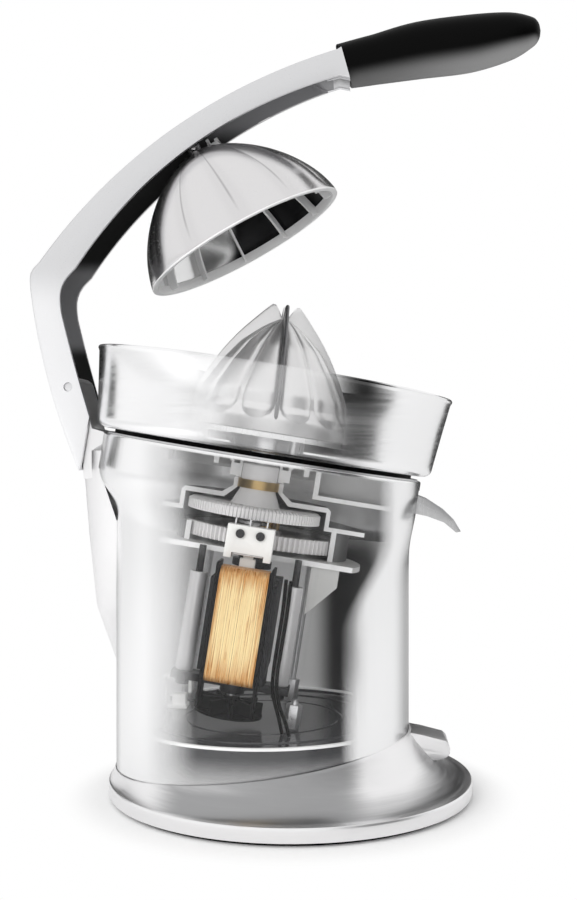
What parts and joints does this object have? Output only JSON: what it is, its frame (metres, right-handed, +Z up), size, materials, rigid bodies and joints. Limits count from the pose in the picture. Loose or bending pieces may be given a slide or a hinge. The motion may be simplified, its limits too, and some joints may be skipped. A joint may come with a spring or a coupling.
{
  "type": "electric citrus juicer with lever press",
  "caption": "Electric citrus juicer: press arm with dome, finned cone in a leaning steel bowl, spout, motor and gear train in a round housing on a skirted base.",
  "frame": {"origin": "middle of the round base, on the surface it stands on", "axes": "+X towards the spout, +Z up; bowl, cone, gears and motor lean 9 degrees from +Z towards +X; -Y is the side with the motor coil"},
  "size_m": [0.2912, 0.208, 0.4458],
  "materials": {
    "steel_brushed": "brushed",
    "steel_polished": "polished",
    "cast_metal": "satin",
    "dome_metal": "polished",
    "cone_metal": "polished",
    "black_grip": "satin",
    "black_rubber": "matte",
    "black_plastic": "matte",
    "white_plastic": "satin",
    "gear_plastic": "matte",
    "cover_plastic": "gloss",
    "case_cast": "cast",
    "lamination": "stacked sheet",
    "copper": "enamelled wire",
    "steel_part": "turned",
    "dark_steel": "blackened",
    "bronze": "sintered",
    "wire_black": "satin"
  },
  "bodies": {
    "base": {"rubber_ring": "black_rubber", "floor_plate": "dark_steel", "floor_screws": "steel_part", "base_casting": "cast_metal", "cord_gland": "black_rubber", "paddle_pin": "steel_part", "power_switch": "black_plastic", "housing": "steel_brushed", "hinge_column": "cast_metal", "column_screws": "steel_part", "top_cover": "cover_plastic", "cover_screws": "steel_part", "bowl_gasket": "black_rubber", "shaft_seal": "white_plastic", "gear_case": "case_cast", "mounting_plate": "case_cast", "case_screws": "steel_part", "shaft_bushes": "bronze", "tie_rods": "steel_part", "motor_sleeves": "steel_polished", "sleeve_bolts": "dark_steel", "stator_core": "lamination", "coil_bobbin": "black_plastic", "coil_winding": "copper", "motor_bracket": "dark_steel", "microswitch": "white_plastic", "switch_screws": "dark_steel", "switch_pins": "steel_part", "switch_lever": "steel_part", "switch_wires": "wire_black", "terminal_bracket": "white_plastic", "hinge_bushes": "white_plastic", "bowl_seat_ring": "steel_part"},
    "lever_arm": {"arm": "cast_metal", "grip": "black_grip", "hinge_pin": "steel_part", "swivel_pin": "steel_part"},
    "press_dome": {"dome": "dome_metal"},
    "bowl": {"juice_bowl": "steel_polished"},
    "strainer": {"filter": "steel_brushed"},
    "thrust": {"thrust_plate": "steel_part"},
    "output": {"output_gear": "gear_plastic", "drive_shaft": "steel_part"},
    "reamer": {"cone": "cone_metal", "cone_hub": "black_plastic"},
    "counter": {"big_gear": "gear_plastic", "small_pinion": "bronze", "countershaft": "steel_part"},
    "rotor_set": {"rotor": "lamination", "motor_shaft": "steel_part", "motor_pinion": "bronze", "fan": "black_plastic"},
    "plunger": {"switch_plunger": "white_plastic"},
    "drip_spout": {"spout": "steel_polished"},
    "paddle": {"power_paddle": "cast_metal"}
  },
  "joints": [
    {"name": "arm_hinge", "type": "hinge", "parent": "base", "child": "lever_arm", "pos_m": [-0.125, 0, 0.232], "axis": [0, -1, 0], "range_deg": [-30, 0]},
    {"name": "dome_swivel", "type": "hinge", "parent": "lever_arm", "child": "press_dome", "pos_m": [-0.05759, 0, 0.37375], "axis": [0, -1, 0], "range_deg": [-10, 10]},
    {"name": "drive_press", "type": "slide", "parent": "base", "child": "thrust", "axis": [-0.1564, 0, -0.9877], "range_m": [0, 0.0012], "stiffness_N_per_m": 8000, "springref_m": -0.0015},
    {"name": "output_spin", "type": "hinge", "parent": "thrust", "child": "output", "pos_m": [-0.016, 0, 0.1925], "axis": [0.1564, 0, 0.9877], "continuous": true},
    {"name": "cone_lift", "type": "slide", "parent": "output", "child": "reamer", "axis": [0.1564, 0, 0.9877], "range_m": [0, 0.04]},
    {"name": "bowl_lift", "type": "slide", "parent": "base", "child": "bowl", "axis": [0.1564, 0, 0.9877], "range_m": [0, 0.024]},
    {"name": "filter_lift", "type": "slide", "parent": "bowl", "child": "strainer", "axis": [0.1564, 0, 0.9877], "range_m": [0, 0.012]},
    {"name": "counter_spin", "type": "hinge", "parent": "base", "child": "counter", "pos_m": [-0.01057, 0.02746, 0.19164], "axis": [0.1564, 0, 0.9877], "continuous": true},
    {"name": "rotor_spin", "type": "hinge", "parent": "base", "child": "rotor_set", "pos_m": [-0.01106, -0.02504, 0.19172], "axis": [0.1564, 0, 0.9877], "continuous": true},
    {"name": "plunger_slide", "type": "slide", "parent": "base", "child": "plunger", "axis": [-0.1564, 0, -0.9877], "range_m": [0, 0.001]},
    {"name": "spout_flip", "type": "hinge", "parent": "base", "child": "drip_spout", "pos_m": [0.06852, 0, 0.17], "axis": [0, -1, 0], "range_deg": [0, 25]},
    {"name": "paddle_press", "type": "hinge", "parent": "base", "child": "paddle", "pos_m": [0.065, 0, 0.028], "axis": [0, 1, 0], "range_deg": [-4, 4]}
  ],
  "couplings": [
    {"joint": "output_spin", "follows": "rotor_spin", "ratio": -0.028674},
    {"joint": "counter_spin", "follows": "rotor_spin", "ratio": -0.12903},
    {"joint": "plunger_slide", "follows": "drive_press", "ratio": 0.75},
    {"joint": "bowl_lift", "follows": "cone_lift", "ratio": 0.6},
    {"joint": "filter_lift", "follows": "cone_lift", "ratio": 0.3}
  ]
}
